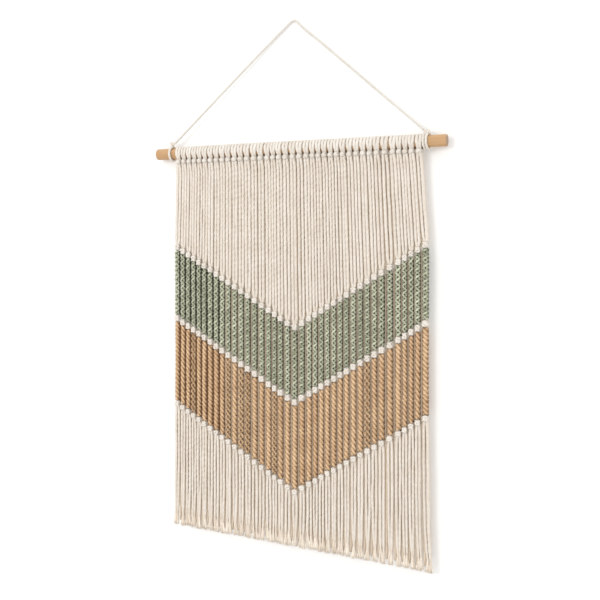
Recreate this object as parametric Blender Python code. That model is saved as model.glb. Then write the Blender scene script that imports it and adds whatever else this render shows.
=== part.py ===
"""A macrame wall hanging on a wooden rod, in metres, with +Z up and +Y towards the wall.

The origin is the hang point, the inside of the bend where the hanging cord goes over its nail. The cloth
hangs from the rod in 39 units. Each unit is one lark's head, its two strings, a green and a tan sinnet with
natural knots above, between and below them, and the two strings of its fringe.
"""

import math
from collections import namedtuple

import bmesh
import bpy
from mathutils import Vector

# The rod
ROD_LEFT = -0.2143
ROD_RIGHT = 0.2203
ROD_DIAMETER = 0.016
ROD_Y = -0.0095
ROD_Z = -0.1788
ROD_EDGE = 0.0012

# The natural strings, and the thinner cord that the rod hangs from
CORD_DIAMETER = 0.0040
HANGER_DIAMETER = 0.0032

# The units of the cloth. They bunch and spread along the rod as they were tied, so a few of them are placed
# and the rest lie evenly between these.
UNITS = 39
MIDDLE = UNITS // 2
UNIT_PLACES = (
    (-0.5, -0.1839),
    (1.0, -0.1700),
    (5.0, -0.1349),
    (9.0, -0.0963),
    (12.0, -0.0657),
    (15.0, -0.0332),
    (17.0, -0.0151),
    (21.0, 0.0278),
    (24.0, 0.0549),
    (27.0, 0.0825),
    (32.0, 0.1319),
    (34.0, 0.1551),
    (37.0, 0.1816),
    (38.5, 0.1972),
)
MIDDLE_X = 0.0058
CLOTH_Y = ROD_Y - 0.0030
CLEARANCE = 0.0004

# The heading of lark's heads, round the rod
HEADING_LEFT = -0.1810
HEADING_RIGHT = 0.1887
HEADING_HOLE = 0.0090
WRAP_RADIUS = 0.0106
WRAP_RADIUS_BETWEEN = 0.0099
BAR_FORWARD = 0.0060
BAR_DROP = 0.0122
BAR_RADIUS = 0.0036
BAR_RADIUS_BETWEEN = 0.0029
BAR_ANGLES = (0, 14, 34, 64, 98, 138, 180)

# The chevron: how far its lines fall for each metre towards the middle
SLOPE = 0.612

# The cloth's parts between the strings and the fringe. Height is along a unit, and ridge and groove are half
# the thickness at a unit's middle and between two units.
Row = namedtuple("Row", "name height ridge groove colour")
NATURAL = (0.78, 0.69, 0.57)
SAGE = (0.33, 0.38, 0.29)
TAN = (0.55, 0.35, 0.18)
FIRST_ROW_DROP = 0.2459
ROWS = (
    Row("knots_above_sage", height=0.0095, ridge=0.0035, groove=0.0015, colour=NATURAL),
    Row("sage_band", height=0.0929, ridge=0.0036, groove=0.0014, colour=SAGE),
    Row("knots_between_bands", height=0.0102, ridge=0.0035, groove=0.0015, colour=NATURAL),
    Row("tan_band", height=0.1144, ridge=0.0036, groove=0.0014, colour=TAN),
    Row("knots_below_tan", height=0.0087, ridge=0.0035, groove=0.0015, colour=NATURAL),
)

# The strings of the heading and of the fringe
STRINGS_DROP = 0.0166
STRIP_HEIGHT = 0.0012
FRINGE_DROP = 0.5545
FRINGE_SLANT = 0.0125
FRINGE_SPREAD = 1.006
FRINGE_FOOT = 0.0040
FRINGE_FOOT_DEPTH = 0.0060

# The hitches that tie the hanging cord to the rod. Turns are their places along the rod, and knot_x, knot_y
# and knot_z are the knot's middle, the last two from the rod's axis.
Hitch = namedtuple("Hitch", "name turns knot_x knot_y knot_z knot_radius knot_half_height")
HITCHES = (
    Hitch("hanger_hitch_left", (-0.1890,), -0.1890, -0.0020, 0.0140, 0.0032, 0.0040),
    Hitch("hanger_hitch_right", (0.1911, 0.1949), 0.1927, -0.0030, 0.0122, 0.0036, 0.0044),
)
TURN_THICKNESS = 0.0035
TURN_CLEARANCE = 0.0004

# The hanging cord's middle line, from the left knot over the nail to the right knot
HANGER_ROUTE = (
    (-0.1849, -0.0112, -0.1639),
    (-0.1600, -0.0097, -0.1411),
    (-0.1300, -0.0079, -0.1134),
    (-0.1000, -0.0060, -0.0856),
    (-0.0700, -0.0042, -0.0581),
    (-0.0400, -0.0024, -0.0308),
    (-0.0200, -0.0012, -0.0132),
    (-0.0100, -0.0006, -0.0044),
    (-0.0060, -0.0003, -0.0010),
    (-0.0034, 0.0000, 0.0008),
    (-0.0017, 0.0000, 0.0014),
    (0.0000, 0.0000, 0.0016),
    (0.0017, 0.0000, 0.0011),
    (0.0035, 0.0000, -0.0001),
    (0.0060, -0.0004, -0.0027),
    (0.0100, -0.0007, -0.0067),
    (0.0200, -0.0013, -0.0158),
    (0.0400, -0.0026, -0.0326),
    (0.0700, -0.0046, -0.0589),
    (0.1000, -0.0065, -0.0853),
    (0.1300, -0.0085, -0.1118),
    (0.1600, -0.0105, -0.1379),
    (0.1890, -0.0123, -0.1634),
)
HANGER_POINT_SPACING = 0.011


def material(name, colour, roughness):
    """A plain dyed or natural surface."""
    made = bpy.data.materials.new(name)
    made.use_nodes = True
    shader = made.node_tree.nodes["Principled BSDF"]
    shader.inputs["Base Color"].default_value = (*colour, 1.0)
    shader.inputs["Roughness"].default_value = roughness
    shader.inputs["Metallic"].default_value = 0.0
    return made


def add(name, data, colour, roughness=0.9):
    """Puts a mesh or a curve in the scene under its name, in its own colour."""
    data.name = name
    data.materials.append(material(name, colour, roughness))
    made = bpy.data.objects.new(name, data)
    bpy.context.scene.collection.objects.link(made)
    return made


class Shell:
    """A closed surface of flat faces that share their corners."""

    def __init__(self):
        self.bm = bmesh.new()
        self.corners = {}

    def corner(self, point):
        key = tuple(round(value, 7) for value in point)
        if key not in self.corners:
            self.corners[key] = self.bm.verts.new(point)
        return self.corners[key]

    def face(self, *points):
        self.bm.faces.new([self.corner(point) for point in points])

    def skin(self, rings):
        """Faces between each ring of points and the next, open at both ends."""
        for ring, following in zip(rings, rings[1:]):
            for i in range(len(ring)):
                j = (i + 1) % len(ring)
                self.face(ring[i], ring[j], following[j], following[i])

    def mesh(self):
        bmesh.ops.recalc_face_normals(self.bm, faces=self.bm.faces)
        made = bpy.data.meshes.new("shell")
        self.bm.to_mesh(made)
        self.bm.free()
        return made


def unit_x(unit):
    """The middle of a unit of the cloth, or a place between two units for a part of one."""
    for (near, near_x), (far, far_x) in zip(UNIT_PLACES, UNIT_PLACES[1:]):
        if unit <= far:
            break
    return near_x + (unit - near) * (far_x - near_x) / (far - near)


def chevron_z(drop, x):
    """The height of a chevron line whose lowest point lies at a drop below the rod's axis."""
    return ROD_Z - drop + SLOPE * abs(x - MIDDLE_X)


def make_rod():
    """A round dowel with eased edges and flat ends."""
    bm = bmesh.new()
    radius = ROD_DIAMETER / 2
    bmesh.ops.create_cone(
        bm, cap_ends=True, segments=32, radius1=radius, radius2=radius, depth=ROD_RIGHT - ROD_LEFT
    )
    data = bpy.data.meshes.new("rod")
    bm.to_mesh(data)
    bm.free()
    data.shade_smooth()
    data.set_sharp_from_angle(angle=math.radians(30))
    rod = add("rod", data, (0.62, 0.42, 0.24), roughness=0.55)
    rod.location = ((ROD_LEFT + ROD_RIGHT) / 2, ROD_Y, ROD_Z)
    rod.rotation_euler = (0.0, math.radians(90), 0.0)
    ease = rod.modifiers.new("eased edges", "BEVEL")
    ease.width = ROD_EDGE
    ease.segments = 2
    ease.limit_method = "ANGLE"


def around_rod(x, angle, radius):
    """A point of the heading, with the angle taken from the cross bar's side of the rod."""
    direction = math.atan2(-BAR_DROP, -BAR_FORWARD) + angle
    return x, ROD_Y + radius * math.cos(direction), ROD_Z + radius * math.sin(direction)


def heading_ring(x, wrap_radius, bar_radius):
    """The heading's outline at one place along the rod: the wrapped cord and the bar below it."""
    reach = math.hypot(BAR_FORWARD, BAR_DROP)
    turned = [math.radians(angle) for angle in BAR_ANGLES]
    turned += [-angle for angle in reversed(turned[1:-1])]
    ring = []
    for angle in turned:
        radius = wrap_radius
        aside = reach * math.sin(angle)
        if abs(aside) < bar_radius and math.cos(angle) > 0:
            radius = max(radius, reach * math.cos(angle) + math.sqrt(bar_radius**2 - aside**2))
        ring.append(around_rod(x, angle, radius))
    return ring


def make_heading():
    """One ribbed sleeve of lark's heads, a rib for each unit, open along the rod."""
    first, last = unit_x(-0.5), unit_x(UNITS - 0.5)

    def rib_x(unit):
        return HEADING_LEFT + (unit_x(unit) - first) * (HEADING_RIGHT - HEADING_LEFT) / (last - first)

    outside = [heading_ring(HEADING_LEFT, WRAP_RADIUS_BETWEEN, BAR_RADIUS_BETWEEN)]
    for unit in range(UNITS):
        outside.append(heading_ring(rib_x(unit), WRAP_RADIUS, BAR_RADIUS))
        outside.append(heading_ring(rib_x(unit + 0.5), WRAP_RADIUS_BETWEEN, BAR_RADIUS_BETWEEN))
    inside = [heading_ring(x, HEADING_HOLE, 0.0) for x in (HEADING_LEFT, HEADING_RIGHT)]
    shell = Shell()
    shell.skin(outside)
    shell.skin(inside)
    shell.skin([outside[0], inside[0]])
    shell.skin([outside[-1], inside[-1]])
    add("larks_head_row", shell.mesh(), NATURAL)


def cross_section(x, half_depth, top, bottom):
    """The four corners of a slice across the cloth at x: front top, back top, back bottom, front bottom."""
    front, back = CLOTH_Y - half_depth, CLOTH_Y + half_depth
    return (x, front, top), (x, back, top), (x, back, bottom), (x, front, bottom)


def make_row(row, drop):
    """A chevron of upright ribs, one for each unit."""
    slices = []
    for half_unit in range(2 * UNITS + 1):
        x = MIDDLE_X if half_unit == 2 * MIDDLE + 1 else unit_x((half_unit - 1) / 2)
        half_depth = row.ridge if half_unit % 2 else row.groove
        top, bottom = chevron_z(drop, x), chevron_z(drop + row.height, x)
        slices.append(cross_section(x, half_depth, top, bottom))
    shell = Shell()
    shell.skin(slices)
    shell.face(*slices[0])
    shell.face(*slices[-1])
    add(row.name, shell.mesh(), row.colour)


def make_comb(name, top_z, foot, foot_depth):
    """Two strings for each unit below one thin strip.

    top_z gives the strip's top at x. foot gives the left and right corners of a string's lower end, each as
    (x, z), from the string's middle.
    """
    half_depth = CORD_DIAMETER / 2
    half_foot = foot_depth / 2
    shell = Shell()
    last = None
    for string in range(2 * UNITS):
        middle = unit_x((string - 0.5) / 2)
        sides = [
            cross_section(x, half_depth, top_z(x), top_z(x) - STRIP_HEIGHT)
            for x in (middle - CORD_DIAMETER / 2, middle + CORD_DIAMETER / 2)
        ]
        left, right = sides
        shell.face(left[0], right[0], right[3], left[3])
        shell.face(left[1], right[1], right[2], left[2])
        shell.face(left[0], right[0], right[1], left[1])
        ends = [[(x, CLOTH_Y + side * half_foot, z) for side in (-1, 1)] for x, z in foot(middle)]
        lower_left, lower_right = ends
        shell.face(left[3], right[3], lower_right[0], lower_left[0])
        shell.face(left[2], right[2], lower_right[1], lower_left[1])
        shell.face(left[3], left[2], lower_left[1], lower_left[0])
        shell.face(right[3], right[2], lower_right[1], lower_right[0])
        shell.face(*lower_left, *reversed(lower_right))
        if last is None:
            shell.face(*left)
        elif string == 2 * MIDDLE + 1:
            tip = cross_section(MIDDLE_X, half_depth, top_z(MIDDLE_X), top_z(MIDDLE_X) - STRIP_HEIGHT)
            shell.skin([last, tip, left])
        else:
            shell.skin([last, left])
        last = right
    shell.face(*last)
    add(name, shell.mesh(), NATURAL)


def make_strings():
    """The strings from the heading down to the first row of knots."""

    def foot(middle):
        corners = (middle - CORD_DIAMETER / 2, middle + CORD_DIAMETER / 2)
        return [(x, chevron_z(FIRST_ROW_DROP - CLEARANCE, x)) for x in corners]

    make_comb("upper_strings", lambda x: ROD_Z - STRINGS_DROP, foot, CORD_DIAMETER)


def make_fringe(drop):
    """The fringe below the last row of knots. Its strings spread a little, and its cut end slants."""
    half_width = (unit_x(UNITS - 0.5) - unit_x(-0.5)) / 2

    def foot(middle):
        from_middle = (middle - MIDDLE_X) * FRINGE_SPREAD
        z = ROD_Z - FRINGE_DROP - FRINGE_SLANT * from_middle / half_width
        x = MIDDLE_X + from_middle
        return [(x - FRINGE_FOOT / 2, z), (x + FRINGE_FOOT / 2, z)]

    make_comb("fringe", lambda x: chevron_z(drop, x), foot, FRINGE_FOOT_DEPTH)


def ring_round_rod(x):
    """One turn of cord round the rod."""
    inside = ROD_DIAMETER / 2 + TURN_CLEARANCE
    thick = TURN_THICKNESS / 2
    rings = []
    for step in range(25):
        around = math.tau * step / 24
        ring = []
        for side in range(8):
            across = math.tau * (side + 0.5) / 8
            radius = inside + thick + thick * math.cos(across)
            place = (x + thick * math.sin(across), ROD_Y + radius * math.cos(around))
            ring.append((*place, ROD_Z + radius * math.sin(around)))
        rings.append(ring)
    shell = Shell()
    shell.skin(rings)
    return shell.mesh()


def knot_mesh(hitch):
    """The hitch's knot, a small upright egg."""
    bm = bmesh.new()
    bmesh.ops.create_uvsphere(bm, u_segments=14, v_segments=8, radius=1.0)
    bmesh.ops.scale(bm, vec=(hitch.knot_radius, hitch.knot_radius, hitch.knot_half_height), verts=bm.verts)
    place = (hitch.knot_x, ROD_Y + hitch.knot_y, ROD_Z + hitch.knot_z)
    bmesh.ops.translate(bm, vec=place, verts=bm.verts)
    made = bpy.data.meshes.new("knot")
    bm.to_mesh(made)
    bm.free()
    return made


def make_hitch(hitch):
    """The turns of cord round the rod, joined to the knot on top of it."""
    made = add(hitch.name, ring_round_rod(hitch.turns[0]), NATURAL)
    others = [ring_round_rod(x) for x in hitch.turns[1:]] + [knot_mesh(hitch)]
    for number, data in enumerate(others):
        joined = bpy.data.objects.new(f"{hitch.name}_joined_{number}", data)
        bpy.context.scene.collection.objects.link(joined)
        joined.hide_render = True
        joined.display_type = "WIRE"
        union = made.modifiers.new(f"joined {number}", "BOOLEAN")
        union.operation = "UNION"
        union.object = joined


def smooth_points(route, spacing):
    """Points about a spacing apart on the smooth curve through a route's points."""
    points = [Vector(point) for point in route]
    before = points[0] * 2 - points[1]
    after = points[-1] * 2 - points[-2]
    padded = [before, *points, after]
    made = [points[0]]
    for p0, p1, p2, p3 in zip(padded, padded[1:], padded[2:], padded[3:]):
        t0 = 0.0
        t1 = t0 + math.sqrt((p1 - p0).length)
        t2 = t1 + math.sqrt((p2 - p1).length)
        t3 = t2 + math.sqrt((p3 - p2).length)
        pieces = max(1, round((p2 - p1).length / spacing))
        for piece in range(1, pieces + 1):
            t = t1 + (t2 - t1) * piece / pieces
            a1 = p0.lerp(p1, (t - t0) / (t1 - t0))
            a2 = p1.lerp(p2, (t - t1) / (t2 - t1))
            a3 = p2.lerp(p3, (t - t2) / (t3 - t2))
            b1 = a1.lerp(a2, (t - t0) / (t2 - t0))
            b2 = a2.lerp(a3, (t - t1) / (t3 - t1))
            made.append(b1.lerp(b2, (t - t1) / (t2 - t1)))
    return made


def make_hanger():
    """The hanging cord, a taut tube from knot to knot over the hang point."""
    data = bpy.data.curves.new("hanger_cord", "CURVE")
    data.dimensions = "3D"
    data.bevel_depth = HANGER_DIAMETER / 2
    data.bevel_resolution = 2
    data.use_fill_caps = True
    points = smooth_points(HANGER_ROUTE, HANGER_POINT_SPACING)
    spline = data.splines.new("POLY")
    spline.points.add(len(points) - 1)
    for corner, point in zip(spline.points, points):
        corner.co = (*point, 1.0)
    add("hanger_cord", data, NATURAL)


def main():
    for old in list(bpy.data.objects):
        bpy.data.objects.remove(old, do_unlink=True)
    make_rod()
    make_hanger()
    for hitch in HITCHES:
        make_hitch(hitch)
    make_heading()
    make_strings()
    drop = FIRST_ROW_DROP
    for row in ROWS:
        make_row(row, drop)
        drop += row.height + CLEARANCE
    make_fringe(drop)


main()
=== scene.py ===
"""The looks of a macrame wall hanging: its cords, knots, sinnets, brushed fringe and wooden rod.

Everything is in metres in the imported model's frame. The origin is the hang point, +X runs along the rod to
the right as seen from the front, +Y points to the wall and +Z is up.
"""

import logging
import math
from dataclasses import dataclass
from enum import Enum
from typing import Optional, Sequence

import bpy
import numpy as np
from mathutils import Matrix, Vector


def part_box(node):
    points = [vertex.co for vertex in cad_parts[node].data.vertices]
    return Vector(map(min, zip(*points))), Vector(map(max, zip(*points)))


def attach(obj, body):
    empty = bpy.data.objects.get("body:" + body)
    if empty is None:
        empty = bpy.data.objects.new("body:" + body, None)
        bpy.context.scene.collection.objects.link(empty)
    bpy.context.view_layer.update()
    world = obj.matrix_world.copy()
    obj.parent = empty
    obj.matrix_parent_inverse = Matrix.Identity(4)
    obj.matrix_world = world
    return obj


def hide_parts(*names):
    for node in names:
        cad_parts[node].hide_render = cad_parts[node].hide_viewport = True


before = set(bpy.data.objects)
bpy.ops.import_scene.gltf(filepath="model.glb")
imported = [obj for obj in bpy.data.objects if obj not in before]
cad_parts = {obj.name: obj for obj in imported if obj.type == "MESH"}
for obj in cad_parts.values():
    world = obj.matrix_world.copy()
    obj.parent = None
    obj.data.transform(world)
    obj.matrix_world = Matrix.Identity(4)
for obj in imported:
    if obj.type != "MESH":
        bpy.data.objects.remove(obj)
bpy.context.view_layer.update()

BODY = "root"
UNITS = 39

# How fast the chevrons rise from their lowest point, and where along X that point is
SLOPE = 0.612
MIDDLE_X = 0.0058

# From a unit's middle to each of its two strings, in units
STRING_PLACE = 0.24

# How many of the bands' gaps, from the left, are filled with near-black cords as painted shade
CLOSE_GAPS = 8

# What a mesh of cords carries for its finish: a surface map, each cord's shade among its like, and how deep
# each point lies, which the finish paints as shade
LIE_MAP = "cord_lie"
SHADE = "cord_shade"
DEPTH = "cord_depth"

# How far apart two cords may start on their surface map, in metres of cord
MAP_REACH = 5.0

LOG = logging.getLogger("macrame")

# Where some of the units lie along the rod. The rest lie evenly between these.
UNIT_PLACES = (
    (-0.5, -0.1839),
    (1.0, -0.1700),
    (5.0, -0.1349),
    (9.0, -0.0963),
    (12.0, -0.0657),
    (15.0, -0.0332),
    (17.0, -0.0151),
    (21.0, 0.0278),
    (24.0, 0.0549),
    (27.0, 0.0825),
    (32.0, 0.1319),
    (34.0, 0.1551),
    (37.0, 0.1816),
    (38.5, 0.1972),
)

# The hanging cord's middle line, from the left knot over the hang point to the right knot
HANGER_ROUTE = (
    (-0.1849, -0.0112, -0.1639),
    (-0.1600, -0.0097, -0.1411),
    (-0.1300, -0.0079, -0.1134),
    (-0.1000, -0.0060, -0.0856),
    (-0.0700, -0.0042, -0.0581),
    (-0.0400, -0.0024, -0.0308),
    (-0.0200, -0.0012, -0.0132),
    (-0.0100, -0.0006, -0.0044),
    (-0.0060, -0.0003, -0.0010),
    (-0.0034, 0.0000, 0.0008),
    (-0.0017, 0.0000, 0.0014),
    (0.0000, 0.0000, 0.0016),
    (0.0017, 0.0000, 0.0011),
    (0.0035, 0.0000, -0.0001),
    (0.0060, -0.0004, -0.0027),
    (0.0100, -0.0007, -0.0067),
    (0.0200, -0.0013, -0.0158),
    (0.0400, -0.0026, -0.0326),
    (0.0700, -0.0046, -0.0589),
    (0.1000, -0.0065, -0.0853),
    (0.1300, -0.0085, -0.1118),
    (0.1600, -0.0105, -0.1379),
    (0.1890, -0.0123, -0.1634),
)

# Half a lark's head where it lies on the rod, from the lower front over the top to the lower back: the place
# round the rod in degrees, the place from the unit's middle in unit widths, and the width as a share of a
# wrap's
WRAP_ON_ROD = (
    (-40, 0.165, 0.92),
    (-14, 0.215, 1.0),
    (15, 0.245, 1.0),
    (50, 0.245, 1.0),
    (85, 0.245, 1.0),
    (120, 0.245, 1.0),
    (160, 0.245, 1.0),
    (200, 0.245, 1.0),
    (240, 0.245, 1.0),
)

# The same half where it rises from its string behind the bar, and where it comes forward under the rod: the
# place from the unit's middle in unit widths, the place from the rod's axis along Y and Z, the width as a
# share of a wrap's, and the flatness
WRAP_RISING = (
    (0.17, -0.0030, -0.0155, 0.95, 1.0),
    (0.15, -0.0042, -0.0112, 0.85, 0.9),
)
WRAP_BELOW = (
    (0.27, 0.0, -0.0098, 0.95, 0.8),
    (0.24, -0.0035, -0.0118, 0.72, 1.0),
)


class Twist(Enum):
    """Which way the plies of a cord wind."""

    LEFT = -1.0
    RIGHT = 1.0


class Side(Enum):
    """The left or the right string of a unit."""

    LEFT = -1.0
    RIGHT = 1.0


@dataclass(frozen=True)
class Lay:
    """The cross-section of a laid cord and how it turns along the cord.

    Args:
        plies: Ridges round the cord.
        corners: Mesh corners for each ply.
        groove: Radius between two plies, as a share of the cord's radius.
        turn: Length of cord in which the plies go once round.
        twist: Which way they go.
        ridge: Power that shapes a ply. Below one the ply is broader and the groove narrower.
    """

    plies: int = 3
    corners: int = 3
    groove: float = 0.86
    turn: float = 0.024
    twist: Twist = Twist.RIGHT
    ridge: float = 0.75

    @property
    def sides(self) -> int:
        """Mesh corners round the cord."""
        return self.plies * self.corners

    def shares(self) -> np.ndarray:
        """The radius at each corner, as a share of the cord's."""
        height = np.sin(np.pi * np.arange(self.sides) / self.corners)
        return self.groove + (1 - self.groove) * np.abs(height) ** self.ridge


THREE_PLY = Lay()
GREEN_STRAND = Lay(plies=2, corners=4, groove=0.70, turn=0.0090)
THICK_STRAND = Lay(plies=3, corners=3, groove=0.88, turn=0.0090, twist=Twist.LEFT)
TAN_STRAND = Lay(plies=2, corners=4, groove=0.72, turn=0.0075, twist=Twist.LEFT)
FIBRE = Lay(plies=3, corners=1, groove=1.0, turn=1.0)
CORE_LAY = Lay(plies=10, corners=1, groove=1.0, turn=1.0)
BACK_LAY = Lay(plies=6, corners=1, groove=1.0, turn=1.0)


def smooth_curve(points: Sequence[Sequence[float]], spacing: float) -> np.ndarray:
    """Lays a smooth curve through a few points.

    Args:
        points: The points, in order, each its place and then any values that go with it.
        spacing: About how far apart the made points are.

    Returns:
        Points along the curve, one to a row.
    """
    given = np.asarray(points, dtype=float)
    padded = np.vstack((2 * given[0] - given[1], given, 2 * given[-1] - given[-2]))
    gaps = np.sqrt(np.linalg.norm(np.diff(padded[:, :3], axis=0), axis=1))
    made = [given[0]]
    for i in range(1, len(padded) - 2):
        p0, p1, p2, p3 = padded[i - 1 : i + 3]
        t0, t1 = 0.0, gaps[i - 1]
        t2 = t1 + gaps[i]
        t3 = t2 + gaps[i + 1]
        pieces = max(1, round(float(np.linalg.norm((p2 - p1)[:3])) / spacing))
        for t in np.linspace(t1, t2, pieces + 1)[1:]:
            a1 = (t1 - t) / (t1 - t0) * p0 + (t - t0) / (t1 - t0) * p1
            a2 = (t2 - t) / (t2 - t1) * p1 + (t - t1) / (t2 - t1) * p2
            a3 = (t3 - t) / (t3 - t2) * p2 + (t - t2) / (t3 - t2) * p3
            b1 = (t2 - t) / (t2 - t0) * a1 + (t - t0) / (t2 - t0) * a2
            b2 = (t3 - t) / (t3 - t1) * a2 + (t - t1) / (t3 - t1) * a3
            made.append((t2 - t) / (t2 - t1) * b1 + (t - t1) / (t2 - t1) * b2)
    return np.asarray(made)


def path_of(x: float | np.ndarray, y: float | np.ndarray, z: np.ndarray) -> np.ndarray:
    """A path's points from their coordinates, of which x and y may be one value for all."""
    return np.column_stack(np.broadcast_arrays(x, y, z))


def lengths_along(path: np.ndarray) -> np.ndarray:
    """The distance along a path to each of its points."""
    return np.concatenate(((0.0,), np.cumsum(np.linalg.norm(np.diff(path, axis=0), axis=1))))


def unit_vectors(rows: np.ndarray) -> np.ndarray:
    """Each row at length one."""
    return rows / np.linalg.norm(rows, axis=1, keepdims=True)


def cross_axes(path: np.ndarray, start: Optional[Sequence[float]]) -> tuple[np.ndarray, np.ndarray]:
    """Two directions across a path at each point, which turn as little as they can along it.

    Args:
        path: The path's points.
        start: About where the first direction points at the path's start. Without it the path runs mostly up
            or down, and the first direction stays near +X.

    Returns:
        The two directions, one row for each point.
    """
    along = unit_vectors(np.gradient(path, axis=0))
    if start is None:
        first = np.array((1.0, 0.0, 0.0)) - along[:, :1] * along
        first = unit_vectors(first)
        return first, np.cross(along, first)
    first = np.empty_like(path)
    direction = np.asarray(start, dtype=float)
    for i, tangent in enumerate(along):
        direction = direction - direction.dot(tangent) * tangent
        direction /= np.linalg.norm(direction)
        first[i] = direction
    return first, np.cross(along, first)


def add_object(name: str, data: bpy.types.ID) -> bpy.types.Object:
    """Makes an object of a mesh, a light or a camera and puts it into the scene.

    Args:
        name: The object's name.
        data: What it is made of.

    Returns:
        The object.
    """
    made = bpy.data.objects.new(name, data)
    bpy.context.scene.collection.objects.link(made)
    return made


@dataclass(frozen=True)
class Wobble:
    """A slow wave along a cord, which starts anywhere.

    Args:
        size: How far it goes to each side.
        pace: Its radians for each metre of cord.
        starts: The radians within which it starts.
    """

    size: float
    pace: float
    starts: float = 6.0

    def at(self, down: np.ndarray, random: np.random.Generator) -> np.ndarray:
        """The wave at each distance along the cord."""
        return self.size * np.sin(down * self.pace + random.uniform(0, self.starts))


class Tangle:
    """Many cords gathered into the arrays of one mesh."""

    def __init__(self, seed: int) -> None:
        """Starts an empty tangle.

        Args:
            seed: Starts this tangle's own random numbers.
        """
        self.random = np.random.default_rng(seed)
        self._points: list[np.ndarray] = []
        self._corners: list[np.ndarray] = []
        self._sizes: list[np.ndarray] = []
        self._lies: list[np.ndarray] = []
        self._shades: list[np.ndarray] = []
        self._depths: list[np.ndarray] = []
        self._count = 0

    def add_cord(
        self,
        path: np.ndarray,
        radius: float | np.ndarray,
        lay: Lay = THREE_PLY,
        flat: float | np.ndarray = 1.0,
        start: Optional[Sequence[float]] = None,
        shade: Optional[float] = None,
        within: Optional[tuple[float | np.ndarray, float]] = None,
    ) -> None:
        """Adds one closed cord along a path, its plies at a random turn.

        Args:
            path: The cord's middle line.
            radius: Its radius, one for all or one for each point.
            lay: Its cross-section.
            flat: Its thickness along the first direction across it, as a share of its width, one for all or
                one for each point.
            start: See cross_axes.
            shade: How light the cord is among its like, about -1 to 1. Random without it.
            within: The middle along Y of the cloth that the cord is in, and half the cloth's thickness. The
            cord is painted darker towards that middle, as shade.
        """
        first, second = cross_axes(path, start)
        reach = lengths_along(path)
        shade = self.random.uniform(-1.0, 1.0) if shade is None else shade
        turns = self.random.random() + lay.twist.value * reach / lay.turn
        around = math.tau * (np.arange(lay.sides) / lay.sides + turns[:, None])
        outward = np.broadcast_to(np.asarray(radius, dtype=float).reshape(-1, 1), (len(path), 1))
        outward = outward * lay.shares()[None, :]
        flat = np.asarray(flat, dtype=float).reshape(-1, 1)
        rings = (
            path[:, None, :]
            + (outward * np.cos(around) * flat)[:, :, None] * first[:, None, :]
            + (outward * np.sin(around))[:, :, None] * second[:, None, :]
        )
        # How deep each point lies in the cloth, which the finish paints as shade
        depths = np.zeros(rings.shape[:2])
        if within is not None:
            middle, half = within
            from_middle = np.abs(rings[:, :, 1] - np.asarray(middle, dtype=float).reshape(-1, 1))
            depths = np.clip(1 - from_middle / half, 0, 1)
        self._depths.append(depths.ravel())
        self._add_rings(rings, reach + self.random.uniform(0.0, MAP_REACH), shade)

    def _add_rings(self, rings: np.ndarray, reach: np.ndarray, shade: float) -> None:
        """Adds the faces between rings of points, and one to close each end.

        Args:
            rings: The points, by ring and by side.
            reach: Distance along the cord to each ring, for its surface map.
            shade: See add_cord.
        """
        count, sides = rings.shape[:2]
        ring, side = np.meshgrid(np.arange(count - 1), np.arange(sides), indexing="ij")
        ring, side = ring.ravel(), side.ravel()
        after = (side + 1) % sides
        near, far = ring * sides, (ring + 1) * sides
        corners = np.stack((near + side, near + after, far + after, far + side), axis=1)
        left, right = side / sides, (side + 1) / sides
        low, high = reach[ring], reach[ring + 1]
        lies = np.stack((left, low, right, low, right, high, left, high), axis=1).reshape(-1, 2)
        ends = (np.arange(sides)[::-1], np.arange(sides) + (count - 1) * sides)
        evenly = np.arange(sides) / sides
        end_lies = [np.column_stack((evenly, np.full(sides, place))) for place in (reach[0], reach[-1])]
        self._points.append(rings.reshape(-1, 3))
        self._corners.append(np.concatenate((corners.ravel(), *ends)) + self._count)
        self._sizes.append(np.concatenate((np.full(len(corners), 4), (sides, sides))))
        self._lies.append(np.vstack((lies, *end_lies)))
        self._shades.append(np.full(count * sides, shade))
        self._count += count * sides

    def triangles(self) -> int:
        """How many triangles the tangle holds so far."""
        return int(sum((sizes - 2).sum() for sizes in self._sizes))

    def piece(self, name: str, material: bpy.types.Material) -> bpy.types.Object:
        """Makes the mesh.

        Args:
            name: The object's name.
            material: Its finish.

        Returns:
            The object, in the scene.
        """
        corners = np.concatenate(self._corners).astype(np.int32)
        sizes = np.concatenate(self._sizes).astype(np.int32)
        starts = np.concatenate(((0,), np.cumsum(sizes)[:-1])).astype(np.int32)
        mesh = bpy.data.meshes.new(name)
        mesh.vertices.add(self._count)
        mesh.vertices.foreach_set("co", np.vstack(self._points).astype(np.float32).ravel())
        mesh.loops.add(len(corners))
        mesh.loops.foreach_set("vertex_index", corners)
        mesh.polygons.add(len(sizes))
        mesh.polygons.foreach_set("loop_start", starts)
        mesh.update(calc_edges=True)
        mesh.shade_smooth()
        lie = mesh.uv_layers.new(name=LIE_MAP)
        lie.data.foreach_set("uv", np.vstack(self._lies).astype(np.float32).ravel())
        for kept, values in ((SHADE, self._shades), (DEPTH, self._depths)):
            attribute = mesh.attributes.new(kept, "FLOAT", "POINT")
            attribute.data.foreach_set("value", np.concatenate(values).astype(np.float32))
        mesh.materials.append(material)
        LOG.info("%s: %d triangles", name, self.triangles())
        return add_object(name, mesh)


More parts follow.
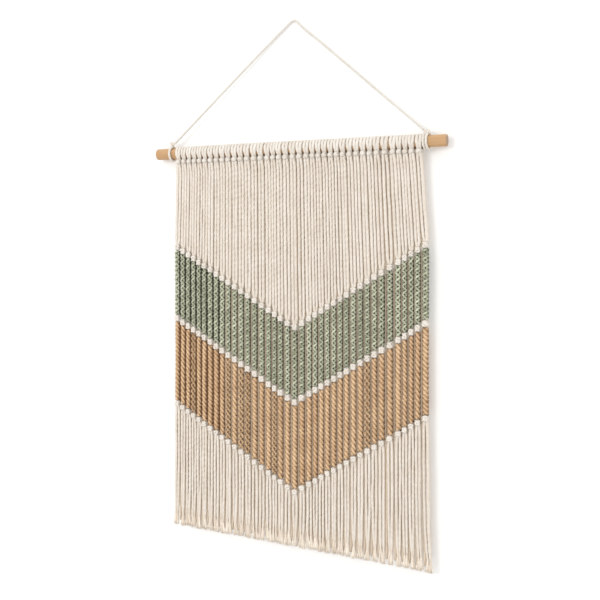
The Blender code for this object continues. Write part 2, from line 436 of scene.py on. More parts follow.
class NodeTable:
    """A material's nodes, made and joined in few words."""

    def __init__(self, name: str) -> None:
        """Starts a material with only its output.

        Args:
            name: The material's name.
        """
        self.material = bpy.data.materials.new(name)
        self.material.use_nodes = True
        self.tree = self.material.node_tree
        self.tree.nodes.clear()
        self.output = self.tree.nodes.new("ShaderNodeOutputMaterial")

    def add(self, kind: str, inputs: Optional[dict] = None, **settings: object) -> bpy.types.Node:
        """Makes a node.

        Args:
            kind: Its type, without "ShaderNode".
            inputs: For each input by name or number, a value or the output socket that feeds it.
            settings: The node's own settings.

        Returns:
            The node.
        """
        node = self.tree.nodes.new("ShaderNode" + kind)
        for key, value in settings.items():
            setattr(node, key, value)
        for key, value in (inputs or {}).items():
            if isinstance(value, bpy.types.NodeSocket):
                self.tree.links.new(value, node.inputs[key])
            else:
                node.inputs[key].default_value = value
        return node

    def maths(self, operation: str, *values: object) -> bpy.types.NodeSocket:
        """The result of a sum on numbers or sockets."""
        return self.add("Math", dict(enumerate(values)), operation=operation).outputs[0]

    def vector(self, x: object, y: object, z: object) -> bpy.types.NodeSocket:
        """A vector of numbers or sockets."""
        return self.add("CombineXYZ", {0: x, 1: y, 2: z}).outputs[0]

    def noise(self, where: bpy.types.NodeSocket, scale: float, detail: float = 2.0) -> bpy.types.NodeSocket:
        """Soft random numbers about one half."""
        return self.add("TexNoise", {"Vector": where, "Scale": scale, "Detail": detail}).outputs["Fac"]

    def ramp(
        self, factor: bpy.types.NodeSocket, low: tuple[float, tuple], high: tuple[float, tuple]
    ) -> bpy.types.NodeSocket:
        """Blends two colours along a factor.

        Args:
            factor: The factor.
            low: The place along it up to which the first colour holds, and that colour, linear.
            high: The place from which the second one holds, and that colour.

        Returns:
            The colour socket.
        """
        node = self.add("ValToRGB", {"Fac": factor})
        for element, (place, colour) in zip(node.color_ramp.elements, (low, high)):
            element.position = place
            element.color = (*colour, 1.0)
        return node.outputs["Color"]

    def finish(self, shader: bpy.types.Node) -> bpy.types.Material:
        """Joins the shader to the output and gives the material."""
        self.tree.links.new(shader.outputs[0], self.output.inputs["Surface"])
        return self.material


@dataclass(frozen=True)
class CottonGrain:
    """How yarns and fibres lie on a cord and shape its tone.

    Args:
        yarns_along: Yarns that lie side by side along a metre of cord.
        yarns_around: How many of them it takes to go once round.
        yarn_change: How often a yarn's tone changes in a metre.
        fibres_around: Fibres side by side round the cord.
        fibre_change: How often a fibre's tone changes in a metre.
        cord_change: How much the fibres differ between cords of different shades.
        patches: How fine the soft patches of the whole piece are, to a metre.
        yarn_tone: The yarns' share in the tone.
        fibre_tone: The fibres' share in it.
        patch_tone: The patches' share in it.
        shade_tone: The share of the cord's own shade in it.
        deep_end: Tone at which the colour is all that between the fibres.
        light_end: Tone at which it is all that on top.
        yarn_relief: The yarns' share in the relief.
        fibre_relief: The fibres' share in it.
        relief: Depth of the relief.
        roughness: The least roughness.
        rougher: How much rougher the lightest fibres are.
        shine: The surface's mirror light.
        sheen_roughness: Softness of the edge light.
    """

    yarns_along: float = 1000.0
    yarns_around: float = 7.5
    yarn_change: float = 120.0
    fibres_around: float = 30.0
    fibre_change: float = 170.0
    cord_change: float = 9.0
    patches: float = 55.0
    yarn_tone: float = 0.45
    fibre_tone: float = 0.55
    patch_tone: float = 0.35
    shade_tone: float = 0.05
    deep_end: float = 0.25
    light_end: float = 0.62
    yarn_relief: float = 0.6
    fibre_relief: float = 0.4
    relief: float = 0.0004
    roughness: float = 0.82
    rougher: float = 0.12
    shine: float = 0.25
    sheen_roughness: float = 0.5


@dataclass(frozen=True)
class CottonFinish:
    """Matt cotton cord, with fibres that run along its plies and painted shade deep between the cords.

    Args:
        name: The material's name.
        light: Colour of the fibres on top, linear.
        deep: Colour between the fibres, linear.
        painted_crease_shade: Painted shade deep between the cords, linear.
        strokes: How strongly the yarns of a ply stand out.
        sheen: The soft edge light of cotton fuzz.
        falloff: How late the colour goes over to the painted shade.
        grain: How the yarns and fibres lie.
    """

    name: str
    light: tuple[float, float, float]
    deep: tuple[float, float, float]
    painted_crease_shade: tuple[float, float, float]
    strokes: float = 0.35
    sheen: float = 0.10
    falloff: float = 1.6
    grain: CottonGrain = CottonGrain()

    def material(self) -> bpy.types.Material:
        """Makes the cotton.

        Returns:
            Its material.
        """
        grain = self.grain
        table = NodeTable(self.name)
        lie = table.add("UVMap", uv_map=LIE_MAP).outputs[0]
        split = table.add("SeparateXYZ", {0: lie})
        around, along = split.outputs[0], split.outputs[1]
        shade = table.add("Attribute", attribute_name=SHADE).outputs["Fac"]
        turned = table.maths("MULTIPLY", around, grain.yarns_around)
        slant = table.maths("MULTIPLY_ADD", along, grain.yarns_along, turned)
        changing = table.maths("MULTIPLY", along, grain.yarn_change)
        yarns = table.noise(table.vector(slant, changing, shade), scale=1.0, detail=1.0)
        fibre_place = table.vector(
            table.maths("MULTIPLY", around, grain.fibres_around),
            table.maths("MULTIPLY", along, grain.fibre_change),
            table.maths("MULTIPLY", shade, grain.cord_change),
        )
        fibres = table.noise(fibre_place, scale=1.0, detail=3.0)
        patches = table.noise(table.add("TexCoord").outputs["Object"], grain.patches)
        tone = table.maths("MULTIPLY", yarns, grain.yarn_tone)
        tone = table.maths("MULTIPLY_ADD", fibres, grain.fibre_tone, tone)
        tone = table.maths("SUBTRACT", tone, grain.patch_tone / 2)
        tone = table.maths("MULTIPLY_ADD", patches, grain.patch_tone, tone)
        tone = table.maths("MULTIPLY_ADD", shade, grain.shade_tone, tone)
        colour = table.ramp(tone, (grain.deep_end, self.deep), (grain.light_end, self.light))
        # Painted shade: the deeper a point lies between the cords, the more its colour goes over to
        # painted_crease_shade
        depth = table.add("Attribute", attribute_name=DEPTH).outputs["Fac"]
        # Input 0 of a colour mix is its factor, 6 and 7 are its colours, and output 2 is its result
        painted_shade_mix = {0: table.maths("POWER", depth, self.falloff), 6: colour, 7: (*self.painted_crease_shade, 1.0)}
        colour = table.add("Mix", painted_shade_mix, data_type="RGBA").outputs[2]
        height = table.maths("MULTIPLY", fibres, grain.fibre_relief)
        height = table.maths("MULTIPLY_ADD", yarns, grain.yarn_relief, height)
        relief = {"Height": height, "Strength": self.strokes, "Distance": grain.relief}
        surface = {
            "Base Color": colour,
            "Roughness": table.maths("MULTIPLY_ADD", fibres, grain.rougher, grain.roughness),
            "Specular IOR Level": grain.shine,
            "Sheen Weight": self.sheen,
            "Sheen Roughness": grain.sheen_roughness,
            "Normal": table.add("Bump", relief).outputs[0],
        }
        return table.finish(table.add("BsdfPrincipled", surface))


@dataclass(frozen=True)
class WoodFinish:
    """Smooth light wood with its grain along X.

    Args:
        name: The material's name.
        light: Colour of the early wood, linear.
        dark: Colour of the grain lines, linear.
        axis: Y and Z of the rod's axis.
        grain: How fine the grain is, along X and across it.
        end: Whether this is the cut end, with rings round the axis instead of lines.
        rings: How fine its rings are.
        dark_end: Grain value at which the colour is all dark.
        light_end: Grain value at which it is all light.
        strokes: How strongly the grain stands out.
        relief: Depth of its relief.
        roughness: The least roughness.
        rougher: How much rougher the lightest wood is.
        shine: The surface's mirror light.
    """

    name: str
    light: tuple[float, float, float]
    dark: tuple[float, float, float]
    axis: tuple[float, float]
    grain: tuple[float, float] = (9.0, 260.0)
    end: bool = False
    rings: float = 1400.0
    dark_end: float = 0.30
    light_end: float = 0.58
    strokes: float = 0.12
    relief: float = 0.0002
    roughness: float = 0.42
    rougher: float = 0.2
    shine: float = 0.35

    def material(self) -> bpy.types.Material:
        """Makes the wood.

        Returns:
            Its material.
        """
        table = NodeTable(self.name)
        place = table.add("SeparateXYZ", {0: table.add("TexCoord").outputs["Object"]})
        across = [
            table.maths("SUBTRACT", place.outputs[i + 1], middle) for i, middle in enumerate(self.axis)
        ]
        if self.end:
            away = table.maths("SQRT", table.maths("ADD", *(table.maths("MULTIPLY", c, c) for c in across)))
            where = table.vector(table.maths("MULTIPLY", away, self.rings), 0.0, 0.0)
        else:
            wide = [table.maths("MULTIPLY", c, self.grain[1]) for c in across]
            where = table.vector(table.maths("MULTIPLY", place.outputs[0], self.grain[0]), *wide)
        lines = table.noise(where, scale=1.0, detail=4.0)
        relief = {"Height": lines, "Strength": self.strokes, "Distance": self.relief}
        surface = {
            "Base Color": table.ramp(lines, (self.dark_end, self.dark), (self.light_end, self.light)),
            "Roughness": table.maths("MULTIPLY_ADD", lines, self.rougher, self.roughness),
            "Specular IOR Level": self.shine,
            "Normal": table.add("Bump", relief).outputs[0],
        }
        return table.finish(table.add("BsdfPrincipled", surface))


# The painted_crease_shade of each finish is painted shade deep between the cords, near black for green and
# tan
NATURAL = CottonFinish(
    "natural_cotton",
    light=(0.695, 0.652, 0.60),
    deep=(0.56, 0.495, 0.42),
    painted_crease_shade=(0.72, 0.57, 0.41),
    falloff=2.0,
)
SAGE = CottonFinish(
    "sage_cotton",
    light=(0.63, 0.645, 0.485),
    deep=(0.22, 0.23, 0.145),
    painted_crease_shade=(0.008, 0.009, 0.003),
    strokes=0.9,
    falloff=1.5,
)
TAN = CottonFinish(
    "tan_cotton",
    light=(0.73, 0.515, 0.315),
    deep=(0.39, 0.225, 0.11),
    painted_crease_shade=(0.11, 0.034, 0.007),
    strokes=0.9,
    falloff=1.5,
)
# Near-black copies of the green and tan cotton for the cords in the bands' first gaps: painted shade
SAGE_SHADED = CottonFinish(
    "shaded_sage", light=(0.05, 0.052, 0.03), deep=(0.03, 0.032, 0.018), painted_crease_shade=(0.02, 0.02, 0.01)
)
TAN_SHADED = CottonFinish(
    "shaded_tan", light=(0.15, 0.065, 0.022), deep=(0.10, 0.042, 0.013), painted_crease_shade=(0.07, 0.03, 0.01)
)
# A browner, darker copy of the natural cotton for the strings behind the front ones: painted shade in their
# gaps
BACK_SHADED = CottonFinish(
    "shaded_cotton", light=(0.64, 0.54, 0.43), deep=(0.53, 0.43, 0.33), painted_crease_shade=(0.42, 0.31, 0.21)
)
# A darker copy of the natural cotton for the cords in the bands' other gaps: painted shade
GAP_SHADED = CottonFinish(
    "gap_shaded_cotton", light=(0.40, 0.315, 0.235), deep=(0.32, 0.25, 0.185), painted_crease_shade=(0.42, 0.31, 0.21)
)
BRUSHED = CottonFinish(
    "brushed_cotton", light=(0.88, 0.80, 0.70), deep=(0.52, 0.405, 0.295), painted_crease_shade=(0.56, 0.42, 0.28)
)
TAUT = CottonFinish(
    "taut_cotton", light=(0.63, 0.60, 0.55), deep=(0.50, 0.455, 0.40), painted_crease_shade=(0.36, 0.27, 0.19)
)


def adopt(piece: bpy.types.Object, slot: str, *nodes: str) -> bpy.types.Object:
    """Makes a piece ride on the body and stand for its CAD nodes.

    Args:
        piece: The piece.
        slot: Not used.
        nodes: The CAD nodes that it replaces.

    Returns:
        The same piece.
    """
    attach(piece, BODY)
    if nodes:
        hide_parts(*nodes)
    return piece


def dress(tangle: Tangle, name: str, finish: CottonFinish, slot: str, *nodes: str) -> bpy.types.Object:
    """Makes a tangle's cords into one cotton piece and adopts it."""
    return adopt(tangle.piece(name, finish.material()), slot, *nodes)


@dataclass(frozen=True)
class RodPlace:
    """Where the rod lies, read from its CAD node.

    Args:
        low: The lowest corner of the node's box.
        high: Its highest corner.
    """

    low: tuple[float, float, float]
    high: tuple[float, float, float]

    @classmethod
    def read(cls) -> "RodPlace":
        """Reads the node's box."""
        low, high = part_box("rod")
        return cls(tuple(low), tuple(high))

    @property
    def y(self) -> float:
        """The axis, from front to back."""
        return (self.low[1] + self.high[1]) / 2

    @property
    def z(self) -> float:
        """The axis's height."""
        return (self.low[2] + self.high[2]) / 2

    @property
    def radius(self) -> float:
        """Half the rod's thickness."""
        return (self.high[2] - self.low[2]) / 2

    def around(self, x: float, degrees: float, radius: float) -> tuple[float, float, float]:
        """A point round the rod, with 0 degrees in front, 90 on top, 180 behind and 270 below."""
        angle = math.radians(degrees)
        return x, self.y - radius * math.cos(angle), self.z + radius * math.sin(angle)


@dataclass(frozen=True)
class Cloth:
    """The places of the cloth's units.

    Args:
        rod: The rod's place.
        heading_left: Left end of the lark's heads.
        heading_right: Right end of the lark's heads.
        y: Middle of the cloth from front to back.
        even_width: Width of a unit where the cords lie at their full thickness.
        slimmest: The least fullness of a unit.
        fullest: The greatest fullness of a unit's knots and sinnets.
    """

    rod: RodPlace
    heading_left: float
    heading_right: float
    y: float
    even_width: float = 0.0096
    slimmest: float = 0.86
    fullest: float = 1.06

    @classmethod
    def read(cls, rod: RodPlace) -> "Cloth":
        """Reads the boxes of the heading and the green band.

        Args:
            rod: The rod's place.

        Returns:
            The cloth's places.
        """
        band_low, band_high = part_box("sage_band")
        heading_low, heading_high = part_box("larks_head_row")
        return cls(rod, heading_low[0], heading_high[0], (band_low[1] + band_high[1]) / 2)

    @property
    def width(self) -> float:
        """The cloth's width below the heading."""
        return UNIT_PLACES[-1][1] - UNIT_PLACES[0][1]

    def x(self, unit: float) -> float:
        """The middle of a unit, or a place between two units for a part of one."""
        units, places = np.array(UNIT_PLACES).T
        return float(np.interp(unit, units, places))

    def share(self, unit: float) -> float:
        """The same place as a share of the cloth's width."""
        return (self.x(unit) - UNIT_PLACES[0][1]) / self.width

    def heading_x(self, unit: float) -> float:
        """The same place in the row of lark's heads."""
        return self.heading_left + self.share(unit) * (self.heading_right - self.heading_left)

    def fullness(self, unit: int) -> float:
        """How wide a unit's knots and sinnets are for its place, as a share of their usual width."""
        width = self.x(unit + 0.5) - self.x(unit - 0.5)
        return min(max(width / self.even_width, self.slimmest), self.fullest)

    def line(self, node: str, place: float) -> tuple[float, float]:
        """The top and the bottom of a chevron row.

        Args:
            node: The row's CAD node.
            place: A unit, or a place between two units for a part of one.

        Returns:
            The two heights.
        """
        low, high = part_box(node)
        farthest = max(MIDDLE_X - low[0], high[0] - MIDDLE_X)
        away = abs(self.x(place) - MIDDLE_X)
        return high[2] - SLOPE * (farthest - away), low[2] + SLOPE * away


@dataclass
class Rod:
    """The wooden dowel with eased edges.

    Args:
        place: Where it lies.
        edge: Radius of its eased edges.
        cap: Radius of the flat face in the middle of a cut end, as a share of the rod's.
        sides: Mesh corners round it.
        edge_rings: Mesh rings on an eased edge.
        long_rings: Mesh rings along the rod, with one at the start of either edge.
        end_turn: Share of a face's direction along the rod from which on it counts as cut end.
    """

    place: RodPlace
    edge: float = 0.0012
    cap: float = 0.62
    sides: int = 72
    edge_rings: int = 5
    long_rings: int = 9
    end_turn: float = 0.9

    def profile(self) -> list[tuple[float, float]]:
        """Draws the dowel's outline from end to end.

        Returns:
            The outline's points, each its place along X and its radius.
        """
        left, right = self.place.low[0], self.place.high[0]
        outline = [(left, self.cap * self.place.radius)]
        for angle in np.radians(np.linspace(90, 0, self.edge_rings)):
            inward = self.edge * (1 - math.sin(angle))
            outline.append((left + inward, self.place.radius - self.edge * (1 - math.cos(angle))))
        turned_end = list(reversed(outline))
        middle = np.linspace(left + self.edge, right - self.edge, self.long_rings)[1:-1]
        outline += [(x, self.place.radius) for x in middle]
        outline += [(left + right - x, radius) for x, radius in turned_end]
        return outline

    def build(self) -> bpy.types.Object:
        """Turns the dowel and dresses it.

        Returns:
            The piece.
        """
        outline = self.profile()
        points = []
        for x, radius in outline:
            points += [self.place.around(x, 360 * i / self.sides, radius) for i in range(self.sides)]
        faces = [tuple(range(self.sides))]
        for ring in range(len(outline) - 1):
            near, far = ring * self.sides, (ring + 1) * self.sides
            for i in range(self.sides):
                j = (i + 1) % self.sides
                faces.append((near + j, near + i, far + i, far + j))
        faces.append(tuple(reversed(range((len(outline) - 1) * self.sides, len(outline) * self.sides))))
        mesh = bpy.data.meshes.new("rod_dowel")
        mesh.from_pydata(points, [], faces)
        mesh.shade_smooth()
        axis = (self.place.y, self.place.z)
        side = WoodFinish("rod_wood", light=(0.48, 0.295, 0.150), dark=(0.375, 0.212, 0.098), axis=axis)
        # The cut end is darker than the side: end grain, and partly painted shade, as it faces away from the
        # key light
        end = WoodFinish(
            "rod_end_grain_and_shade", light=(0.33, 0.225, 0.145), dark=(0.22, 0.14, 0.085), axis=axis, end=True
        )
        mesh.materials.append(side.material())
        mesh.materials.append(end.material())
        for face in mesh.polygons:
            if abs(face.normal.x) > self.end_turn:
                face.material_index = 1
        return adopt(add_object("rod_dowel", mesh), "rod_wood", "rod")


@dataclass(frozen=True)
class Hitch:
    """One of the hitches that tie the hanging cord to the rod.

    Args:
        node: Its CAD node.
        turns: The places of its turns along the rod.
        knot: The knot's middle, along X and then from the rod's axis.
        seed: Starts its random numbers.
        size: How far the knot's loops reach from its middle.
        tail: Where the cord's cut end points, from the knot's middle, or nothing where it is tucked in.
    """

    node: str
    turns: tuple[float, ...]
    knot: tuple[float, float, float]
    seed: int
    size: float = 0.0029
    tail: tuple[float, float, float] = (0.0, 0.0, 0.0)


LEFT_HITCH = Hitch("hanger_hitch_left", (-0.1890,), (-0.1890, -0.0020, 0.0140), seed=29)
RIGHT_HITCH = Hitch(
    "hanger_hitch_right",
    (0.1911, 0.1949),
    (0.1930, -0.0030, 0.0120),
    seed=30,
    size=0.0031,
    tail=(0.0062, 0.0010, -0.0020),
)


@dataclass
class Hanger:
    """The hanging cord and the two hitches that tie it to the rod.

    Args:
        rod: The rod's place.
        thickness: The cord's diameter.
        turn_thickness: Its diameter where it is pulled tight round the rod.
        knot_thickness: Its diameter in the knots.
        over_plies: The diameter over the plies' ridges, as a share of the cord's.
        turn_start: Where a turn starts and ends round the rod, in degrees.
        lean: How far a turn leans along the rod from top to bottom.
        knot_depth: How far a knot's loops pass before and behind each other, as a share of its size.
        shade: The cord's shade.
        hitch_shade: The shade of the turns and the knots.
        tail_shade: The shade of a cut end.
        spacing: Distance between two mesh rings of the cord.
        turn_rings: Mesh rings round one turn.
        knot_rings: Mesh rings along one knot.
    """

    rod: RodPlace
    thickness: float = 0.0032
    turn_thickness: float = 0.0037
    knot_thickness: float = 0.0031
    over_plies: float = 1.04
    turn_start: float = 80.0
    lean: float = 0.0010
    knot_depth: float = 0.45
    shade: float = 0.3
    hitch_shade: float = 0.4
    tail_shade: float = 0.2
    spacing: float = 0.0012
    turn_rings: int = 41
    knot_rings: int = 61

    def build_cord(self) -> bpy.types.Object:
        """Lays the cord from knot to knot over the hang point.

        Returns:
            The piece.
        """
        path = smooth_curve(HANGER_ROUTE, self.spacing)
        tangle = Tangle(seed=11)
        radius = self.thickness / 2 * self.over_plies
        tangle.add_cord(path, radius, start=(0.0, 1.0, 0.0), shade=self.shade)
        cord = dress(tangle, "hanging_cord", TAUT, "natural_cord", "hanger_cord")
        return cord

    def turn(self, x: float) -> np.ndarray:
        """Finds the way of one turn round the rod, from its top over its back and front to its top again.

        Args:
            x: The turn's place along the rod.

        Returns:
            The path.
        """
        degrees = np.linspace(self.turn_start, self.turn_start + 360, self.turn_rings)
        xs = x - self.lean * np.cos(np.radians(degrees))
        radius = self.rod.radius + self.turn_thickness / 2
        return np.array([self.rod.around(*place, radius) for place in zip(xs, degrees)])

    def knot(self, middle: np.ndarray, size: float) -> np.ndarray:
        """Finds the way of an overhand knot that faces the front.

        Args:
            middle: Its middle.
            size: How far its loops reach from the middle.

        Returns:
            The path, closed on itself.
        """
        t = np.linspace(0, math.tau, self.knot_rings)
        x = (np.sin(t) + 2 * np.sin(2 * t)) / 3
        z = (np.cos(t) - 2 * np.cos(2 * t)) / 3
        y = -np.sin(3 * t) * self.knot_depth
        return middle + size * np.column_stack((x, y, z))

    def build_hitch(self, hitch: Hitch) -> bpy.types.Object:
        """Ties one hitch.

        Args:
            hitch: Which one.

        Returns:
            The piece.
        """
        tangle = Tangle(seed=hitch.seed)
        tight = self.turn_thickness / 2 * self.over_plies
        half = self.knot_thickness / 2
        for x in hitch.turns:
            tangle.add_cord(self.turn(x), tight, start=(0, 0, 1), shade=self.hitch_shade)
        middle = np.array(hitch.knot) + (0.0, self.rod.y, self.rod.z)
        knot = self.knot(middle, hitch.size)
        tangle.add_cord(knot, half, start=(0, 1, 0), shade=self.hitch_shade)
        if any(hitch.tail):
            tail = smooth_curve((middle, middle + np.array(hitch.tail)), self.spacing)
            tangle.add_cord(tail, half, start=(0, 1, 0), shade=self.tail_shade)
        name = hitch.node.replace("hanger_", "") + "_knot"
        return dress(tangle, name, NATURAL, "natural_cord", hitch.node)

    def build(self) -> list[bpy.types.Object]:
        """Makes the cord and both hitches."""
        return [self.build_cord(), self.build_hitch(LEFT_HITCH), self.build_hitch(RIGHT_HITCH)]


@dataclass
class Heading:
    """The row of lark's heads round the rod.

    Each string comes up behind its unit's cross bar, goes up the rod's front, over it and down its back, and
    comes forward under it into the bar.

    Args:
        cloth: The units' places.
        cord_radius: Half the width of a wrap.
        fullest: The greatest fullness of a wrap.
        flat: A wrap's thickness as a share of its width.
        pressed: How far a wrap is pressed onto the rod.
        string_place: Where a string starts, from the unit's middle in unit widths.
        string_drop: From the rod's axis down to there.
        bar_radius: Half a cross bar's depth from front to back.
        bar_rise: A cross bar's height as a share of that depth.
        bar_forward: From the rod's axis forward to the bar's middle.
        bar_drop: From the rod's axis down to it.
        bar_end: The bar's end, as its place from the unit's middle in unit widths, its place from the rod's
            axis along Y and Z, and its shares of the bar's depth and rise.
        aside: Usual distance of a lark's head from its unit's middle.
        uneven: Usual difference in the bars' heights.
        spacing: Distance between two mesh rings.
    """

    cloth: Cloth
    cord_radius: float = 0.00245
    fullest: float = 1.15
    flat: float = 0.46
    pressed: float = 0.0001
    string_place: float = 0.20
    string_drop: float = 0.0190
    bar_radius: float = 0.0030
    bar_rise: float = 1.45
    bar_forward: float = 0.0086
    bar_drop: float = 0.0129
    bar_end: tuple[float, ...] = (0.12, -0.0076, -0.0128, 0.90, 0.95)
    aside: float = 0.00015
    uneven: float = 0.0002
    spacing: float = 0.0014

    def side_points(self, x: float, width: float, side: Side) -> list[tuple[float, ...]]:
        """Finds the way of half a lark's head, from its string over the rod to its bar.

        Args:
            x: The unit's middle.
            width: The unit's width.
            side: Which half.

        Returns:
            Its points, each with the cord's radius and flatness there.
        """
        cloth, rod = self.cloth, self.cloth.rod
        lap = rod.radius + self.cord_radius * self.flat - self.pressed
        reach = side.value * width
        full = self.cord_radius * min(max(width / cloth.even_width, cloth.slimmest), self.fullest)
        points = [(x + self.string_place * reach, cloth.y, rod.z - self.string_drop, full, 1.0)]
        for out, back, up, wide, flat in WRAP_RISING:
            points.append((x + out * reach, rod.y + back, rod.z + up, wide * full, flat))
        for degrees, out, wide in WRAP_ON_ROD:
            points.append((*rod.around(x + out * reach, degrees, lap), wide * full, self.flat))
        for out, back, up, wide, flat in WRAP_BELOW:
            points.append((x + out * reach, rod.y + back, rod.z + up, wide * full, flat))
        out, back, up, deep, rise = self.bar_end
        end = (x + out * reach, rod.y + back, rod.z + up, deep * self.bar_radius, rise * self.bar_rise)
        return [*points, end]

    def build(self) -> bpy.types.Object:
        """Loops every unit's cord round the rod.

        Returns:
            The piece.
        """
        tangle = Tangle(seed=21)
        cloth, rod = self.cloth, self.cloth.rod
        for unit in range(UNITS):
            x = cloth.heading_x(unit) + tangle.random.normal(0, self.aside)
            width = cloth.heading_x(unit + 0.5) - cloth.heading_x(unit - 0.5)
            drop = self.bar_drop + tangle.random.normal(0, self.uneven)
            bar = (x, rod.y - self.bar_forward, rod.z - drop, self.bar_radius, self.bar_rise)
            left = self.side_points(x, width, Side.LEFT)
            right = self.side_points(x, width, Side.RIGHT)
            route = smooth_curve([*left, bar, *reversed(right)], self.spacing)
            tangle.add_cord(route[:, :3], route[:, 3], flat=route[:, 4], start=(0, 1, 0))
        return dress(tangle, "larks_heads", NATURAL, "natural_cord", "larks_head_row")


@dataclass(frozen=True)
class StringRun:
    """How a free-hanging string strays from its straight line.

    Args:
        sway: Usual size of its slow bends.
        bow: Usual size of its one long bow.
        waves: Lengths of the bends.
        hold: Power that shapes how the bends grow from the string's held ends.
    """

    sway: float
    bow: float
    waves: tuple[float, ...] = (0.045, 0.085)
    hold: float = 0.6

    def stray(self, share: np.ndarray, length: float, random: np.random.Generator) -> np.ndarray:
        """Draws how far the string strays, which is nothing at either end.

        Args:
            share: The places along the string, as shares of its length.
            length: Its length.
            random: Random numbers.

        Returns:
            The distance at each place.
        """
        free = np.sin(np.pi * np.clip(share, 0, 1)) ** self.hold
        bow = random.normal(0, self.bow) * np.sin(np.pi * share)
        waves = np.zeros_like(share)
        for wave in self.waves:
            size = random.normal(0, self.sway)
            waves += size * np.sin(math.tau * (share * length / wave + random.random()))
        return bow + waves * free


@dataclass
class BackStrings:
    """Strings behind the cloth's front layer, which show only in its gaps.

    Args:
        cloth: The units' places.
        radius: Their radius.
        behind: From the cloth's middle to theirs.
        spacing: Distance between two mesh rings.
        least_rings: The fewest mesh rings of a short one.
    """

    cloth: Cloth
    radius: float = 0.0019
    behind: float = 0.0030
    spacing: float = 0.008
    least_rings: int = 3

    def hang(self, tangle: Tangle, place: float, top: Sequence[float], bottom: Sequence[float]) -> None:
        """Hangs one of them between two points.

        Args:
            tangle: Takes the string.
            place: Its unit, or the place between two units.
            top: Its upper end, as x and z.
            bottom: Its lower end, as x and z.
        """
        rings = max(self.least_rings, round((top[1] - bottom[1]) / self.spacing))
        z = np.linspace(top[1], bottom[1], rings)
        x = np.interp(z, (bottom[1], top[1]), (bottom[0], top[0]))
        radius = self.radius * self.cloth.fullness(min(round(place), UNITS - 1))
        tangle.add_cord(path_of(x, self.cloth.y + self.behind, z), radius, BACK_LAY)


@dataclass
class GapFilling:
    """The filling cords of a band, which show only in the gaps between its sinnets, coloured as painted
    shade.

    Args:
        cloth: The units' places.
        node: The band's CAD node.
        slot: Their material slot.
        finish: Their finish, a darker copy of a cotton as painted shade.
        gaps: The units to the left of the filled gaps.
        radius: Their radius.
        behind: From the cloth's middle to theirs.
        seed: Starts the random numbers, with the first gap's number added.
    """

    cloth: Cloth
    node: str
    slot: str
    finish: CottonFinish
    gaps: range
    radius: float = 0.0015
    behind: float = 0.0006
    seed: int = 80

    def build(self) -> bpy.types.Object:
        """Hangs a cord in each gap.

        Returns:
            The piece.
        """
        tangle = Tangle(seed=self.seed + self.gaps.start)
        back = BackStrings(self.cloth, radius=self.radius, behind=self.behind)
        for unit in self.gaps:
            place = unit + 0.5
            x = self.cloth.x(place)
            top, bottom = self.cloth.line(self.node, place)
            back.hang(tangle, place, (x, top), (x, bottom))
        return dress(tangle, f"{self.node}_{self.finish.name}", self.finish, self.slot)


